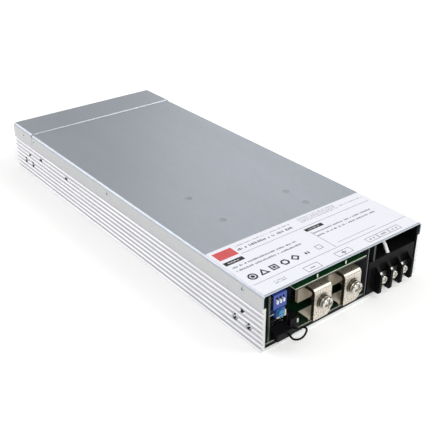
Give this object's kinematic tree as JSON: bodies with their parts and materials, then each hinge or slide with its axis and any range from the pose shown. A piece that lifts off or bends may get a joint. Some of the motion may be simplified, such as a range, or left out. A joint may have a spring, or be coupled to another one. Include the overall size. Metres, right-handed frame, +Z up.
{
  "type": "switching power supply",
  "caption": "Low-profile enclosed switching power supply: ribbed extruded case, folded covers, rear fans, DC screw terminals, barrier terminal block, slide switch and trimmer at the open front.",
  "frame": {"origin": "middle of the case bottom, halfway between the ribbed walls and the two case ends", "axes": "+X to the right seen from the terminal end, +Y from the terminal end to the fan end, +Z up"},
  "size_m": [0.142, 0.3507, 0.0416],
  "materials": {
    "extrusion": "bare extrusion with lengthwise ribs",
    "cover_sheet": "matt sheet",
    "zinc_steel": "zinc plated",
    "dark_screw": "black",
    "label_sheet": "printed film",
    "liner_sheet": "black film",
    "fan_plastic": "black moulding",
    "board_green": "solder mask",
    "spacer_metal": "nickel plated",
    "switch_blue": "blue moulding",
    "lever_white": "white moulding",
    "pin_metal": "tinned",
    "trimmer_blue": "blue moulding",
    "trimmer_pale": "cream moulding",
    "connector_black": "black moulding",
    "window_pale": "pale window",
    "wire_black": "black sleeve",
    "lead_white": "white sleeve",
    "terminal_nickel": "nickel plated",
    "hardware_nickel": "nickel plated",
    "bus_copper": "tinned copper",
    "block_black": "black moulding",
    "spreader_metal": "mill finish",
    "transistor_black": "black moulding",
    "ferrite": "dark ferrite",
    "winding": "wound copper under tape",
    "capacitor_sleeve": "sleeved can"
  },
  "bodies": {
    "housing": {"ac_contacts": "terminal_nickel", "ac_lead": "lead_white", "ac_terminal_block": "block_black", "board_screws": "zinc_steel", "board_spacers": "spacer_metal", "bracket_screws": "dark_screw", "bulk_capacitors": "capacitor_sleeve", "chassis": "extrusion", "chokes": "ferrite", "component_pins": "pin_metal", "control_board": "board_green", "cover_screws": "zinc_steel", "dc_bus_bars": "bus_copper", "dc_nuts": "hardware_nickel", "dc_terminal_negative": "terminal_nickel", "dc_terminal_positive": "terminal_nickel", "dip_switch_body": "switch_blue", "fan_cover": "cover_sheet", "fan_frame_left": "fan_plastic", "fan_frame_right": "fan_plastic", "fan_screws": "dark_screw", "heat_spreaders": "spreader_metal", "heatsink_screws": "dark_screw", "inlet_board": "board_green", "insulation_liner": "liner_sheet", "jumper_wire": "wire_black", "link_socket": "connector_black", "main_board": "board_green", "nut_plates": "zinc_steel", "output_board": "board_green", "output_board_posts": "spacer_metal", "output_capacitors": "capacitor_sleeve", "partition": "liner_sheet", "rating_label": "label_sheet", "rear_panel": "cover_sheet", "signal_header": "connector_black", "signal_plug": "connector_black", "status_led": "window_pale", "top_cover": "cover_sheet", "transformer_cores": "ferrite", "transformer_windings": "winding", "transistors": "transistor_black", "trimmer_body": "trimmer_blue"},
    "fan_rotor_left": {"fan_rotor_left": "fan_plastic"},
    "fan_rotor_right": {"fan_rotor_right": "fan_plastic"},
    "dip_lever_1": {"dip_lever_1": "lever_white"},
    "dip_lever_2": {"dip_lever_2": "lever_white"},
    "dip_lever_3": {"dip_lever_3": "lever_white"},
    "trimmer_rotor": {"trimmer_rotor": "trimmer_pale"},
    "dc_screw_1": {"dc_screw_1": "hardware_nickel", "dc_washers_1": "hardware_nickel"},
    "dc_screw_2": {"dc_screw_2": "hardware_nickel", "dc_washers_2": "hardware_nickel"},
    "ac_screw_1": {"ac_screw_1": "hardware_nickel", "ac_clamp_1": "hardware_nickel"},
    "ac_screw_2": {"ac_screw_2": "hardware_nickel", "ac_clamp_2": "hardware_nickel"},
    "ac_screw_3": {"ac_screw_3": "hardware_nickel", "ac_clamp_3": "hardware_nickel"}
  },
  "joints": [
    {"name": "fan_spin_left", "type": "hinge", "parent": "housing", "child": "fan_rotor_left", "pos_m": [-0.034, 0.1528, 0.0213], "axis": [0, 1, 0], "continuous": true},
    {"name": "fan_spin_right", "type": "hinge", "parent": "housing", "child": "fan_rotor_right", "pos_m": [0.034, 0.1528, 0.0213], "axis": [0, 1, 0], "continuous": true},
    {"name": "dip_slide_1", "type": "slide", "parent": "housing", "child": "dip_lever_1", "axis": [0, 0, 1], "range_m": [0, 0.002]},
    {"name": "dip_slide_2", "type": "slide", "parent": "housing", "child": "dip_lever_2", "axis": [0, 0, 1], "range_m": [0, 0.002]},
    {"name": "dip_slide_3", "type": "slide", "parent": "housing", "child": "dip_lever_3", "axis": [0, 0, 1], "range_m": [0, 0.002]},
    {"name": "trimmer_turn", "type": "hinge", "parent": "housing", "child": "trimmer_rotor", "pos_m": [-0.0555, -0.167, 0.0222], "axis": [0, 1, 0], "range_deg": [-130, 130]},
    {"name": "dc_screw_out_1", "type": "slide", "parent": "housing", "child": "dc_screw_1", "axis": [0, -1, 0], "range_m": [0, 0.005]},
    {"name": "dc_screw_out_2", "type": "slide", "parent": "housing", "child": "dc_screw_2", "axis": [0, -1, 0], "range_m": [0, 0.005]},
    {"name": "ac_screw_out_1", "type": "slide", "parent": "housing", "child": "ac_screw_1", "axis": [0, -1, 0], "range_m": [0, 0.003]},
    {"name": "ac_screw_out_2", "type": "slide", "parent": "housing", "child": "ac_screw_2", "axis": [0, -1, 0], "range_m": [0, 0.003]},
    {"name": "ac_screw_out_3", "type": "slide", "parent": "housing", "child": "ac_screw_3", "axis": [0, -1, 0], "range_m": [0, 0.003]}
  ]
}
